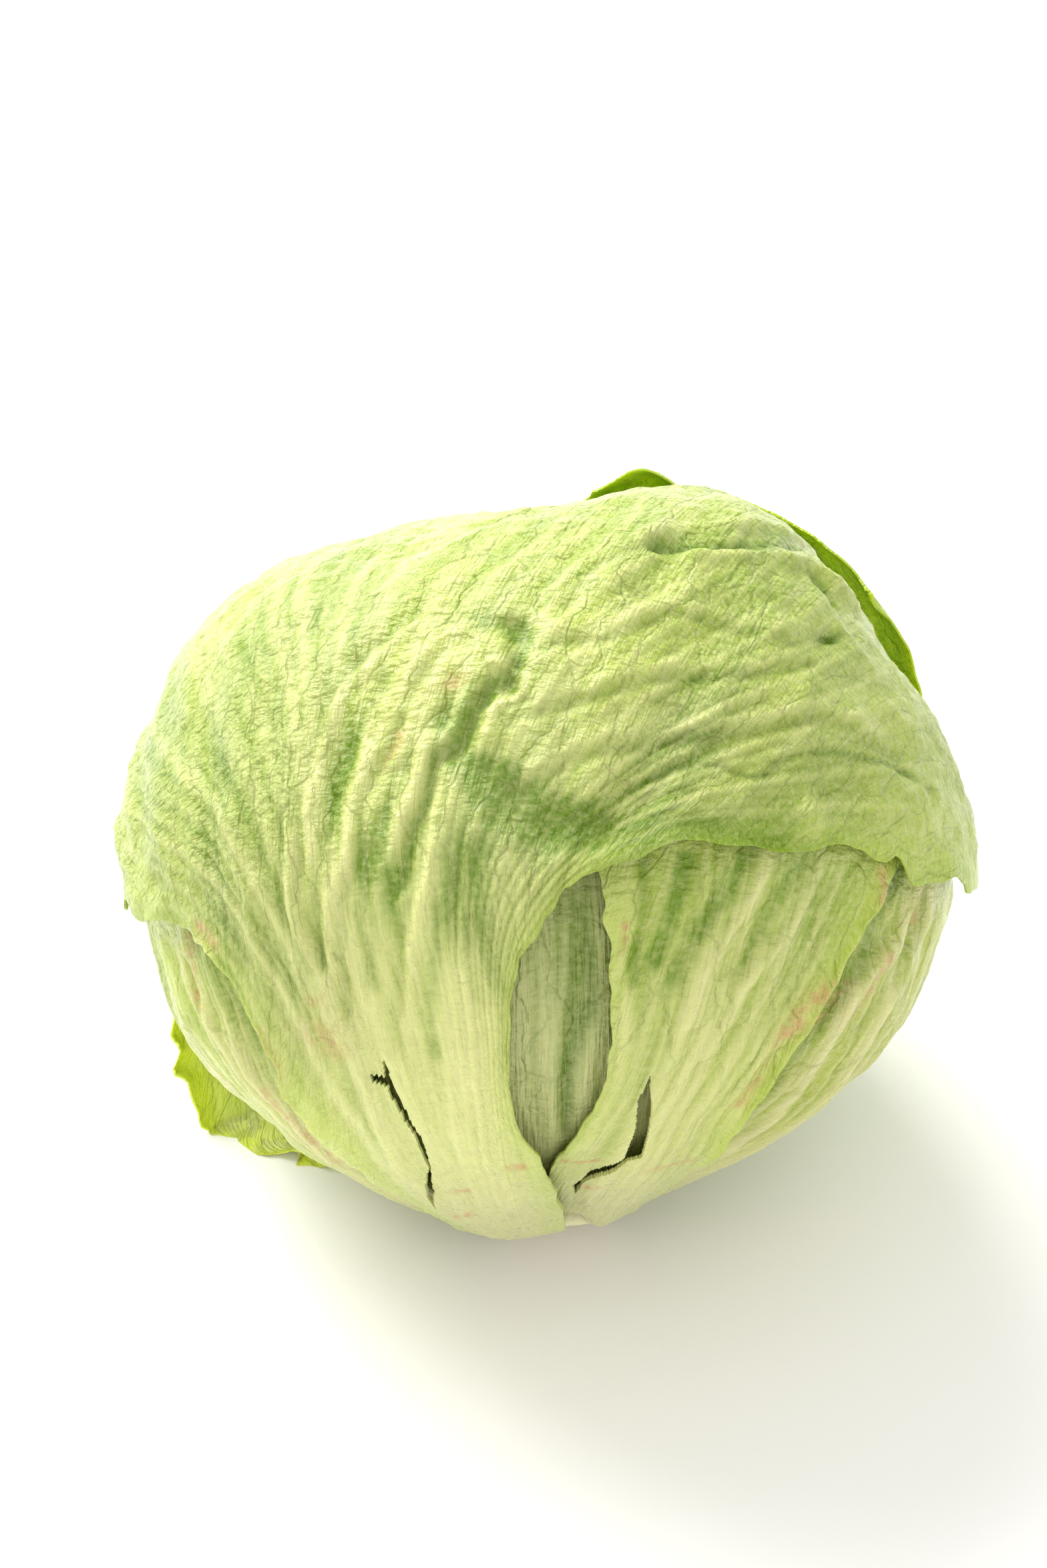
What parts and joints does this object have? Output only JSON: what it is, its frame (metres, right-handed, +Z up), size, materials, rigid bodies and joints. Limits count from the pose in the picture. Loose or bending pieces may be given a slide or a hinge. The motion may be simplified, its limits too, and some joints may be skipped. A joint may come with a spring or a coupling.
{
  "type": "iceberg lettuce",
  "caption": "Whole head of iceberg lettuce lying on its lower back: a tight round heart on a cut stem, wrapped in loose, ribbed outer leaves.",
  "frame": {"origin": "middle of the head's bounding box, on the surface that the head rests on", "axes": "+Z up from the surface; the cut stem points down and to the front, which is -Y; +X is the viewer's right, +Y the back"},
  "size_m": [0.1674, 0.1578, 0.1463],
  "materials": {
    "heart_leaf": "waxy satin",
    "stem_flesh": "moist matte",
    "inner_leaf": "waxy satin",
    "outer_leaf": "waxy satin",
    "green_leaf": "waxy satin"
  },
  "bodies": {
    "root": {"heart": "heart_leaf", "stem": "stem_flesh", "inner_front_leaf": "inner_leaf", "crown_leaf": "inner_leaf", "back_right_leaf": "outer_leaf", "back_left_leaf": "outer_leaf", "right_leaf": "outer_leaf", "left_lower_leaf": "outer_leaf", "front_right_leaf": "outer_leaf", "left_leaf": "outer_leaf", "front_wrapper_leaf": "outer_leaf", "back_leaf": "green_leaf", "under_leaf": "green_leaf"}
  },
  "joints": []
}
